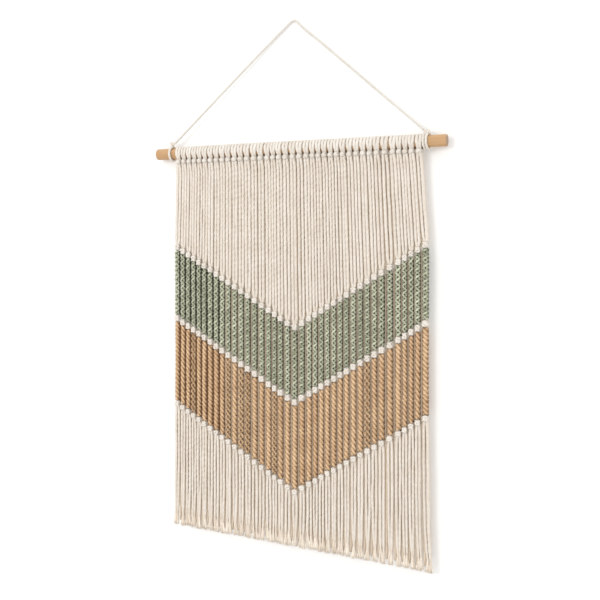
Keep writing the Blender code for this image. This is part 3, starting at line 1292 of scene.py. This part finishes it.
@dataclass
class UpperStrings:
    """The strings from the heading to the first knots.

    Args:
        cloth: The units' places.
        radius: The cord's usual radius.
        uneven: How much the radius differs from string to string, as a share.
        spacing: Distance between two mesh rings.
        top_drop: From the rod's axis down to their upper ends, behind the bars.
        tuck: How far they run into the knots.
        gather: Height over which the strings of a unit come together at its knot.
        gathered: How far from the unit's middle they end.
        squeeze: How much thinner a string is at its knot, as a share.
        pinched: How far from the unit's middle they come out behind the bar, as a share of its width.
        unpinch: Drop in which they leave that place.
        unpinching: Power that shapes how they leave it.
        forward: How much farther to the front they come out under the bar.
        settle: Drop in which they fall back from there.
        deeper: How much more they stray to the front and back than to the sides.
        back_tuck: How far the back layer runs into the knots.
        run: How they stray.
    """

    cloth: Cloth
    radius: float = 0.00244
    uneven: float = 0.05
    spacing: float = 0.0022
    top_drop: float = 0.0150
    tuck: float = 0.0012
    gather: float = 0.010
    gathered: float = 0.0015
    squeeze: float = 0.12
    pinched: float = 0.16
    unpinch: float = 0.005
    unpinching: float = 1.5
    forward: float = 0.0028
    settle: float = 0.009
    deeper: float = 1.3
    back_tuck: float = 0.004
    run: StringRun = StringRun(sway=0.00010, bow=0.00025)

    def hang(self, tangle: Tangle, unit: int, side: Side, top: float, bottom: float) -> None:
        """Hangs one string.

        Args:
            tangle: Takes the string.
            unit: Its unit.
            side: Which string of the unit.
            top: Height of its upper end.
            bottom: Height of its lower end.
        """
        random = tangle.random
        place = unit + side.value * STRING_PLACE
        start_x = self.cloth.heading_x(place)
        knot_x = self.cloth.heading_x(unit + side.value * self.pinched)
        end_x = self.cloth.x(unit) + side.value * self.gathered
        z = np.linspace(top, bottom, round((top - bottom) / self.spacing))
        share = (top - z) / (top - bottom)
        x = start_x + (self.cloth.x(place) - start_x) * share
        x = x + (knot_x - start_x) * np.exp(-((top - z) / self.unpinch) ** self.unpinching)
        pull = np.clip(1 - (z - bottom) / self.gather, 0, 1)
        pull = pull**2 * (3 - 2 * pull)
        x = x + (end_x - x) * pull + self.run.stray(share, top - bottom, random)
        y = self.cloth.y + self.run.stray(share, top - bottom, random) * self.deeper
        y = y - self.forward * np.exp(-(((top - z) / self.settle) ** 2))
        radius = self.radius * self.cloth.fullness(unit) * (1 + random.normal(0, self.uneven))
        # Painted shade on the string's sides, towards its neighbours
        tangle.add_cord(path_of(x, y, z), radius * (1 - self.squeeze * pull), within=(y, radius))

    def build(self) -> list[bpy.types.Object]:
        """Hangs all the strings.

        Returns:
            The strings and their back layer.
        """
        tangle = Tangle(seed=31)
        top = self.cloth.rod.z - self.top_drop
        longest = 0.0
        for unit in range(UNITS):
            bottom = self.cloth.line("knots_above_sage", unit)[0] - self.tuck
            longest = max(longest, top - bottom)
            for side in Side:
                self.hang(tangle, unit, side, top, bottom)
        strings = dress(tangle, "upper_cords", NATURAL, "natural_cord", "upper_strings")
        hidden = self.build_back(top)
        return [strings, hidden]

    def build_back(self, top: float) -> bpy.types.Object:
        """Hangs the back layer, behind the gaps of the front one, in a darker copy of the cotton as painted
        shade.

        Args:
            top: Height of its upper end.

        Returns:
            The piece.
        """
        tangle = Tangle(seed=32)
        back = BackStrings(self.cloth)
        for step in range(2 * UNITS - 1):
            place = step / 2
            bottom = self.cloth.line("knots_above_sage", place)[0] - self.back_tuck
            back.hang(tangle, place, (self.cloth.heading_x(place), top), (self.cloth.x(place), bottom))
        return dress(tangle, "upper_cords_behind", BACK_SHADED, "natural_cord")


@dataclass
class KnotRow:
    """A chevron of small natural knots, one for each unit.

    Args:
        cloth: The units' places.
        node: The row's CAD node.
        seed: Starts its random numbers.
        cord: The knotted cord's radius.
        around: From a knot's middle to its cord's middle.
        plump: The least and the greatest share of that in a knot.
        front: From the cloth's middle to the loops on its front and back.
        ripple: How far the loops pass over and under each other.
        inset: From the row's upper and lower edge to the last loops' middles, in cord radii.
        crossings: How often the loops go from side to side.
        ripples: How often they pass over and under each other.
        aside: Usual distance of a knot from its unit's middle.
        uneven: How much the knots' heights and places differ.
        rings: Mesh rings along the loops.
        core: Radius of the core inside the loops from top to bottom, as shares of a knot's.
    """

    cloth: Cloth
    node: str
    seed: int
    cord: float = 0.00125
    around: float = 0.00255
    plump: tuple[float, float] = (0.93, 1.07)
    front: float = 0.0030
    ripple: float = 0.0007
    inset: float = 1.6
    crossings: int = 3
    ripples: int = 5
    aside: float = 0.00012
    uneven: float = 0.0002
    rings: int = 52
    core: tuple[float, ...] = (0.50, 0.80, 0.92, 0.80, 0.50)

    def build(self) -> bpy.types.Object:
        """Ties every knot.

        Returns:
            The piece.
        """
        tangle = Tangle(seed=self.seed)
        random = tangle.random
        depth = self.front + self.cord
        for unit in range(UNITS):
            top, bottom = self.cloth.line(self.node, unit)
            x = self.cloth.x(unit) + random.normal(0, self.aside)
            rise = (top - bottom) / 2 - self.cord * self.inset + random.uniform(-self.uneven, self.uneven)
            middle = (top + bottom) / 2 + random.normal(0, self.uneven)
            around = self.around * self.cloth.fullness(unit) * random.uniform(*self.plump)
            t = np.linspace(0, math.tau, self.rings)
            first, second = random.uniform(0, math.tau, 2)
            path = path_of(
                x + around * np.sin(self.crossings * t + first),
                self.cloth.y - self.front - self.ripple * np.cos(self.ripples * t + second),
                middle + rise * np.sin((self.crossings - 1) * t + second),
            )
            # The front loops get painted shade towards the cloth's middle
            tangle.add_cord(path, self.cord, start=(0, 1, 0), shade=1.0, within=(self.cloth.y, depth))
            core = path_of(x, self.cloth.y, np.linspace(top, bottom, len(self.core)))
            tangle.add_cord(core, (around + self.cord) * np.array(self.core), CORE_LAY)
            path = path * (1, -1, 1) + (0, 2 * self.cloth.y, 0)
            tangle.add_cord(path, self.cord, start=(0, 0, 1), shade=1.0)
        return dress(tangle, self.node + "_tied", NATURAL, "natural_cord", self.node)


@dataclass
class BraidedBand:
    """The green band: in each unit two pairs of strands, one before the other, that cross and open by turns.

    Args:
        cloth: The units' places.
        node: The band's CAD node.
        half_width: From a unit's middle to a strand's middle where its pair is open.
        plump: The least and the greatest share of a unit's usual width.
        between: From the cloth's middle to a pair's.
        weave: How far a strand comes forward or back where its pair crosses.
        strand: A strand's radius.
        swell: How much a strand swells where its pair crosses, as a share.
        opening: Height of one opening, from crossing to crossing.
        uneven: The least and the greatest share of that in a unit.
        drift: How the openings' heights change along a unit.
        lean: How a unit leans to the sides.
        shade_apart: How much the strands of a unit differ in shade.
        spacing: Distance between two mesh rings.
    """

    cloth: Cloth
    node: str = "sage_band"
    half_width: float = 0.00258
    plump: tuple[float, float] = (0.96, 1.04)
    between: float = 0.0020
    weave: float = 0.0012
    strand: float = 0.00182
    swell: float = 0.06
    opening: float = 0.0054
    uneven: tuple[float, float] = (0.85, 1.15)
    drift: Wobble = Wobble(0.35, 75.0)
    lean: Wobble = Wobble(0.0002, 50.0)
    shade_apart: float = 0.3
    spacing: float = 0.00145

    def build(self) -> bpy.types.Object:
        """Braids every unit.

        Returns:
            The piece.
        """
        tangle = Tangle(seed=41)
        random = tangle.random
        # The strands get painted shade towards the cloth's middle
        within = (self.cloth.y, self.between + self.weave + self.strand)
        for unit in range(UNITS):
            top, bottom = self.cloth.line(self.node, unit)
            z = np.linspace(top, bottom, round((top - bottom) / self.spacing))
            down = top - z
            pace = math.pi / (self.opening * random.uniform(*self.uneven))
            turn = pace * down + random.uniform(0, math.pi) + self.drift.at(down, random)
            lean = self.lean.at(down, random)
            full = self.cloth.fullness(unit) * random.uniform(*self.plump)
            shade = random.uniform(-1, 1)
            front = Side.LEFT if unit % 2 else Side.RIGHT
            for pair, late in ((-1, 0.0), (1, math.pi / 2)):
                for side in Side:
                    over = 1 if side is front else -1
                    x = self.cloth.x(unit) + lean + side.value * self.half_width * full * np.sin(turn + late)
                    y = self.cloth.y + pair * self.between - over * self.weave * np.cos(turn + late) ** 2
                    radius = self.strand * full * (1 + self.swell * np.cos(2 * turn))
                    near = shade + random.uniform(-self.shade_apart, self.shade_apart)
                    tangle.add_cord(path_of(x, y, z), radius, GREEN_STRAND, shade=near, within=within)
        return dress(tangle, "sage_braids", SAGE, "sage_cord", self.node)


@dataclass
class SpiralBand:
    """The tan band: in each unit three thick strands wound round each other, or two open twists.

    Args:
        cloth: The units' places.
        node: The band's CAD node.
        around: From a unit's middle to the middles of an open twist's strands.
        weave: How far those strands come forward and back.
        strands: The wound strands of a unit.
        close: From a unit's middle to their middles.
        between: From the cloth's middle to that of an open twist.
        strand: A thin strand's radius.
        thick: A thick strand's radius.
        core: Radius of the cord inside the open twists.
        core_step: Mesh rings of a strand for each one of that cord.
        shaded: From the cloth's middle to where that cord's painted shade ends.
        lay: Height of one whole turn of the wound strands.
        opening: Height from crossing to crossing in an open twist.
        uneven: The least and the greatest share of those heights in a unit.
        drift: How they change along a unit.
        lean: How a unit leans to the sides.
        open_share: How likely a unit is to have open twists.
        knuckles: How much a strand swells at each knot, as a share.
        knuckle: Height of one knot.
        knuckle_lag: How far the knots of one strand come after the last one's, in radians.
        plump: The least and the greatest share of a unit's usual width.
        shade_apart: How much the strands of a unit differ in shade.
        spacing: Distance between two mesh rings.
    """

    cloth: Cloth
    node: str = "tan_band"
    around: float = 0.0027
    weave: float = 0.0011
    strands: int = 3
    close: float = 0.0023
    between: float = 0.0021
    strand: float = 0.00180
    thick: float = 0.00208
    core: float = 0.0017
    core_step: int = 4
    shaded: float = 0.0060
    lay: float = 0.0205
    opening: float = 0.0078
    uneven: tuple[float, float] = (0.9, 1.1)
    drift: Wobble = Wobble(0.3, 60.0)
    lean: Wobble = Wobble(0.0002, 45.0)
    open_share: float = 0.2
    knuckles: float = 0.13
    knuckle: float = 0.0036
    knuckle_lag: float = 2.1
    plump: tuple[float, float] = (0.96, 1.04)
    shade_apart: float = 0.35
    spacing: float = 0.0016

    def places(self, down: np.ndarray, random: np.random.Generator) -> list[tuple[np.ndarray, np.ndarray]]:
        """Draws where a unit's strands lie.

        Args:
            down: Distances down from the band's top.
            random: Random numbers.

        Returns:
            For each strand, how far it lies to the side and to the back at each distance.
        """
        late = random.uniform(0, math.tau) + self.drift.at(down, random)
        uneven = random.uniform(*self.uneven)
        if random.random() > self.open_share:
            turn = math.tau * down / (self.lay * uneven) + late
            angles = [turn + math.tau * strand / self.strands for strand in range(self.strands)]
            return [(self.close * np.sin(angle), -self.close * np.cos(angle)) for angle in angles]
        turn = math.pi * down / (self.opening * uneven) + late
        made = []
        for pair, later in ((-1, 0.0), (1, math.pi / 2)):
            for half in (0.0, math.pi):
                angle = turn + later + half
                back = pair * self.between - self.weave * np.cos(angle)
                made.append((self.around * np.sin(angle), back))
        return made

    def build(self) -> bpy.types.Object:
        """Winds every unit.

        Returns:
            The piece.
        """
        tangle = Tangle(seed=51)
        random = tangle.random
        middle = self.cloth.y
        for unit in range(UNITS):
            top, bottom = self.cloth.line(self.node, unit)
            z = np.linspace(top, bottom, round((top - bottom) / self.spacing))
            down = top - z
            lean = self.lean.at(down, random)
            full = self.cloth.fullness(unit) * random.uniform(*self.plump)
            shade = random.uniform(-1, 1)
            places = self.places(down, random)
            wound = len(places) == self.strands
            if not wound:
                # The core is painted dark as shade, for the dark holes between the strands
                core = path_of(self.cloth.x(unit), middle, z)[:: self.core_step]
                tangle.add_cord(core, self.core * full, BACK_LAY, within=(middle, self.shaded))
            radius, lay = (self.thick, THICK_STRAND) if wound else (self.strand, TAN_STRAND)
            # Wound strands get painted shade towards the cloth's middle
            within = (middle, self.close + self.thick) if wound else None
            for strand, (aside, back) in enumerate(places):
                lag = self.knuckle_lag * strand
                swell = 1 + self.knuckles * np.sin(down / self.knuckle * math.tau + lag)
                path = path_of(self.cloth.x(unit) + lean + aside * full, middle + back, z)
                near = shade + random.uniform(-self.shade_apart, self.shade_apart)
                tangle.add_cord(path, radius * full * swell, lay, shade=near, within=within)
        return dress(tangle, "tan_spirals", TAN, "tan_cord", self.node)


@dataclass(frozen=True)
class Brush:
    """The brushed-out end of a string.

    Args:
        length: Its length.
        fibres: Its fibres.
        fibre: A fibre's radius, which stands for a few real ones.
        taper: A fibre's radius along it, as shares.
        waist: How far the fibres spread at the top.
        spread: How far they spread at the cut.
        fan: The least and the greatest share of that in a brush.
        opening: Power that shapes how the brush opens.
        lean: Usual distance that a brush's end leans to a side.
        apart: Usual distance that a fibre's end leans to a side by itself.
        start: How much the fibres' upper ends differ in height.
        cut: How far the fibres' cut ends lie from the string's lowest point, from and to.
        deep: The depth's share of the waist at the top, and what it gains to the cut.
        shades: The darkest and the lightest shade of a fibre.
    """

    length: float = 0.0180
    fibres: int = 34
    fibre: float = 0.00055
    taper: tuple[float, ...] = (1.0, 1.0, 1.0, 0.9, 0.6)
    waist: float = 0.0011
    spread: float = 0.0040
    fan: tuple[float, float] = (0.7, 1.25)
    opening: float = 1.5
    lean: float = 0.0007
    apart: float = 0.0003
    start: float = 0.002
    cut: tuple[float, float] = (-0.0008, 0.0012)
    deep: tuple[float, float] = (0.8, 0.4)
    shades: tuple[float, float] = (-2.5, 3.5)

    def spread_out(
        self, brushes: Tangle, foot: tuple[float, float, float], random: np.random.Generator
    ) -> None:
        """Spreads the fibres of one string's end.

        Args:
            brushes: Takes the fibres.
            foot: The lowest point of the string.
            random: Random numbers.
        """
        lean = random.normal(0, self.lean)
        fan = random.uniform(*self.fan)
        share = np.linspace(0, 1, len(self.taper))
        for _ in range(self.fibres):
            angle = random.uniform(0, math.tau)
            place = math.sqrt(random.random())
            top = foot[2] + self.length + random.uniform(-self.start, self.start)
            z = top + (foot[2] + random.uniform(*self.cut) - top) * share
            out = place * (self.waist + (self.spread * fan - self.waist) * share**self.opening)
            x = foot[0] + out * math.cos(angle) + (lean + random.normal(0, self.apart)) * share**2
            y = foot[1] + place * self.waist * math.sin(angle) * (self.deep[0] + self.deep[1] * share)
            radius = self.fibre * np.array(self.taper)
            brushes.add_cord(path_of(x, y, z), radius, FIBRE, shade=random.uniform(*self.shades))


@dataclass
class Fringe:
    """The strings below the last knots, with their brushed-out ends.

    Args:
        cloth: The units' places.
        radius: The cord's usual radius.
        uneven: How much the radius differs from string to string, as a share.
        thin: The least share of its radius that a string has at its brush.
        thinning: Height over which it would gain its whole radius above that.
        spacing: Distance between two mesh rings.
        run: How the strings stray.
        brush: Their brushed-out ends.
        overlap: How far a string runs on inside its brush.
        tuck: How far the strings run into the knots.
        gathered: How far from the unit's middle they start.
        settle: Drop in which they come to their own places.
        together: How far the two strings of a unit hang towards each other, from and to.
        aside: Usual distance of a string's end from its place.
        ragged: How much the strings' ends differ in height.
        flare: How far the last string's end stands out to the right.
        left_flare: How far the first string's stands out to the left, as a share of that.
        flaring: Number of units over which that dies away.
        slant: How much lower the last string is cut than the first.
        back_tuck: How far the back layer runs into the knots.
        back_short: How much shorter it is than the front one.
    """

    cloth: Cloth
    radius: float = 0.00218
    uneven: float = 0.05
    thin: float = 0.50
    thinning: float = 0.030
    spacing: float = 0.0022
    run: StringRun = StringRun(sway=0.00012, bow=0.0003)
    brush: Brush = Brush()
    overlap: float = 0.005
    tuck: float = 0.0012
    gathered: float = 0.0015
    settle: float = 0.006
    together: tuple[float, float] = (0.0002, 0.0018)
    aside: float = 0.0005
    ragged: float = 0.0012
    flare: float = 0.0055
    left_flare: float = 0.2
    flaring: float = 1.6
    slant: float = 0.0249
    back_tuck: float = 0.005
    back_short: float = 0.006

    def foot(self, place: float) -> tuple[float, float]:
        """Finds where a string's lower end hangs, from the corners of the CAD fringe.

        Args:
            place: The string's place in units.

        Returns:
            The place along X and the height.
        """
        low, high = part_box("fringe")
        share = self.cloth.share(place)
        first, last = -STRING_PLACE, UNITS - 1 + STRING_PLACE
        aside = self.flare * math.exp((place - last) / self.flaring)
        aside -= self.left_flare * self.flare * math.exp((first - place) / self.flaring)
        return low[0] + share * (high[0] - low[0]) + aside, low[2] + self.slant * (1 - share)

    def build(self) -> list[bpy.types.Object]:
        """Hangs the strings and brushes out their ends.

        Returns:
            The strings, their brushed-out ends and their back layer.
        """
        cords, brushes = Tangle(seed=61), Tangle(seed=62)
        random = cords.random
        longest = 0.0
        for unit in range(UNITS):
            top = self.cloth.line("knots_below_tan", unit)[1] + self.tuck
            together = random.uniform(*self.together)
            for side in Side:
                place = unit + side.value * STRING_PLACE
                foot_x, foot_z = self.foot(place)
                foot_x += random.normal(0, self.aside) - side.value * together
                end = foot_z + random.uniform(-self.ragged, self.ragged)
                cord_end = end + self.brush.length - self.overlap
                z = np.linspace(top, cord_end, round((top - cord_end) / self.spacing))
                down = top - z
                share = down / (top - cord_end)
                start_x = self.cloth.x(unit) + side.value * self.gathered
                at_rest = self.cloth.x(place)
                x = start_x + (at_rest - start_x) * (1 - np.exp(-down / self.settle))
                x = x + (foot_x - at_rest) * share**4
                x = x + self.run.stray(share, top - cord_end, random)
                y = self.cloth.y + self.run.stray(share, top - cord_end, random)
                full = self.radius * self.cloth.fullness(unit) * (1 + random.normal(0, self.uneven))
                radius = full * np.clip(self.thin + (z - cord_end) / self.thinning, self.thin, 1.0)
                # Painted shade on the string's sides, towards its neighbours
                cords.add_cord(path_of(x, y, z), radius, within=(y, full))
                self.brush.spread_out(brushes, (foot_x, self.cloth.y, end), random)
                longest = max(longest, top - end)
        strings = dress(cords, "fringe_cords", NATURAL, "natural_cord", "fringe")
        ends = dress(brushes, "fringe_brushes", BRUSHED, "natural_cord")
        hidden = self.build_back()
        return [strings, ends, hidden]

    def build_back(self) -> bpy.types.Object:
        """Hangs the back layer behind the gaps of the front one, in a darker copy of the cotton as painted
        shade.

        Returns:
            The piece.
        """
        tangle = Tangle(seed=63)
        back = BackStrings(self.cloth)
        for step in range(2 * UNITS - 1):
            place = step / 2
            foot_x, foot_z = self.foot(place)
            top = self.cloth.line("knots_below_tan", place)[1] + self.back_tuck
            back.hang(tangle, place, (self.cloth.x(place), top), (foot_x, foot_z + self.back_short))
        return dress(tangle, "fringe_cords_behind", BACK_SHADED, "natural_cord")


@dataclass
class Studio:
    """The camera, the plain pale surroundings and the light.

    Args:
        photo: The photograph's width and height.
        focal: Focal length in its pixels.
        horizon: Row of the eye level in it.
        yaw: How far the view turns to the left of straight on, in degrees.
        eye: The camera's place.
        sensor: Width of the camera's sensor in millimetres.
        nearest: The least distance that the camera sees.
        wall_y: The wall's face, just behind the turns of cord round the rod.
        wall_top: The wall's upper edge.
        floor_z: The floor's height.
        floor_ends: How far the floor reaches to the front and to the back.
        half_width: How far wall and floor reach to each side.
        paint: The least and the greatest grey of the paint, linear.
        paint_grain: How fine its patches are, to a metre.
        paint_roughness: Its roughness.
        aim: The key light's aim.
        towards: Direction from there to the key light.
        away: Distance from there to it.
        light_size: Diameter of the key light.
        key: Power of the key light.
        key_colour: Its colour.
        fill: Strength of the even light from all round.
        fill_colour: Its colour.
    """

    photo: float = 600.0
    focal: float = 929.0
    horizon: float = 264.0
    yaw: float = 22.0
    eye: tuple[float, float, float] = (0.4967, -1.2080, -0.3407)
    sensor: float = 36.0
    nearest: float = 0.01
    wall_y: float = 0.0026
    wall_top: float = 1.5
    floor_z: float = -1.25
    floor_ends: tuple[float, float] = (-4.0, 4.0)
    half_width: float = 3.0
    paint: tuple[float, float] = (0.795, 0.805)
    paint_grain: float = 3.0
    paint_roughness: float = 0.9
    aim: tuple[float, float, float] = (0.0, 0.0, -0.35)
    towards: tuple[float, float, float] = (-0.30, -1.0, 0.22)
    away: float = 2.6
    light_size: float = 0.9
    key: float = 15.5
    key_colour: tuple[float, float, float] = (1.0, 0.99, 0.975)
    fill: float = 1.33
    fill_colour: tuple[float, float, float] = (1.0, 0.995, 0.985)

    def add_camera(self) -> None:
        """Places the camera at the photograph's viewing angle."""
        data = bpy.data.cameras.new("camera")
        data.sensor_width = self.sensor
        data.lens = self.sensor * self.focal / self.photo
        data.shift_y = (self.horizon - self.photo / 2) / self.photo
        data.clip_start = self.nearest
        camera = add_object("camera", data)
        camera.location = self.eye
        camera.rotation_euler = (math.radians(90), 0.0, math.radians(self.yaw))
        bpy.context.scene.camera = camera

    def pale(self, name: str, see_through: bool) -> bpy.types.Material:
        """Mixes matt white paint.

        Args:
            name: The material's name.
            see_through: Whether it can be seen through from behind.

        Returns:
            The material.
        """
        table = NodeTable(name)
        tone = table.noise(table.add("TexCoord").outputs["Object"], self.paint_grain)
        dark, light = self.paint
        colour = table.ramp(tone, (0.0, (dark, dark, dark)), (1.0, (light, light, light)))
        matt = {"Base Color": colour, "Roughness": self.paint_roughness, "Specular IOR Level": 0.0}
        paint = table.add("BsdfPrincipled", matt)
        if not see_through:
            return table.finish(paint)
        back = table.add("NewGeometry").outputs["Backfacing"]
        clear = table.add("BsdfTransparent")
        return table.finish(table.add("MixShader", {0: back, 1: paint.outputs[0], 2: clear.outputs[0]}))

    def add_plane(self, name: str, corners: list[tuple[float, ...]], see_through: bool) -> bpy.types.Object:
        """Adds one stage surface.

        Args:
            name: Its name.
            corners: Its four corners, in order.
            see_through: See pale.

        Returns:
            The surface.
        """
        mesh = bpy.data.meshes.new(name)
        mesh.from_pydata(corners, [], [(0, 1, 2, 3)])
        mesh.materials.append(self.pale(name, see_through))
        made = add_object(name, mesh)
        return made

    def add_surroundings(self) -> None:
        """Adds the floor, and the wall behind the hanging, which neither shades nor lights it."""
        wide = self.half_width
        xs = (-wide, wide, wide, -wide)
        near, far = self.floor_ends
        floor = [(x, y, self.floor_z) for x, y in zip(xs, (near, near, far, far))]
        self.add_plane("floor", floor, see_through=False)
        low, high = self.floor_z, self.wall_top
        upright = [(x, self.wall_y, z) for x, z in zip(xs, (low, low, high, high))]
        wall = self.add_plane("wall", upright, see_through=True)
        wall.visible_shadow = False
        wall.visible_diffuse = False

    def add_light(self) -> None:
        """Adds the soft key light from the upper left and an even fill."""
        data = bpy.data.lights.new("key", "AREA")
        data.shape = "DISK"
        data.size = self.light_size
        data.energy = self.key
        data.color = self.key_colour
        key = add_object("key", data)
        towards = np.array(self.towards)
        key.location = np.array(self.aim) + self.away * towards / np.linalg.norm(towards)
        level = math.hypot(towards[0], towards[1])
        key.rotation_euler = (math.atan2(level, towards[2]), 0.0, math.atan2(towards[0], -towards[1]))
        world = bpy.data.worlds.new("sky")
        world.use_nodes = True
        background = world.node_tree.nodes["Background"]
        background.inputs["Color"].default_value = (*self.fill_colour, 1.0)
        background.inputs["Strength"].default_value = self.fill
        bpy.context.scene.world = world
        bpy.context.scene.view_settings.view_transform = "Standard"


def main() -> None:
    """Builds every piece in order and reports it."""
    logging.basicConfig(level=logging.INFO, format="%(name)s: %(message)s")
    studio = Studio()
    studio.add_camera()
    rod = RodPlace.read()
    cloth = Cloth.read(rod)
    pieces = Hanger(rod).build()
    pieces.append(Rod(rod).build())
    pieces.append(Heading(cloth).build())
    pieces += UpperStrings(cloth).build()
    for seed, node in enumerate(("knots_above_sage", "knots_between_bands", "knots_below_tan"), start=71):
        pieces.append(KnotRow(cloth, node, seed).build())
    pieces.append(BraidedBand(cloth).build())
    pieces.append(SpiralBand(cloth).build())
    # The gap cords are painted shade: near black in the first gaps, darker natural cotton in the rest
    dark, light = range(CLOSE_GAPS), range(CLOSE_GAPS, UNITS - 1)
    for node, slot, finish in (("sage_band", "sage_cord", SAGE_SHADED), ("tan_band", "tan_cord", TAN_SHADED)):
        pieces.append(GapFilling(cloth, node, slot, finish, dark).build())
        pieces.append(GapFilling(cloth, node, "natural_cord", GAP_SHADED, light).build())
    pieces += Fringe(cloth).build()
    studio.add_surroundings()
    studio.add_light()
    for piece in pieces:
        LOG.info("made %s", piece.name)


if __name__ == "__main__":
    main()
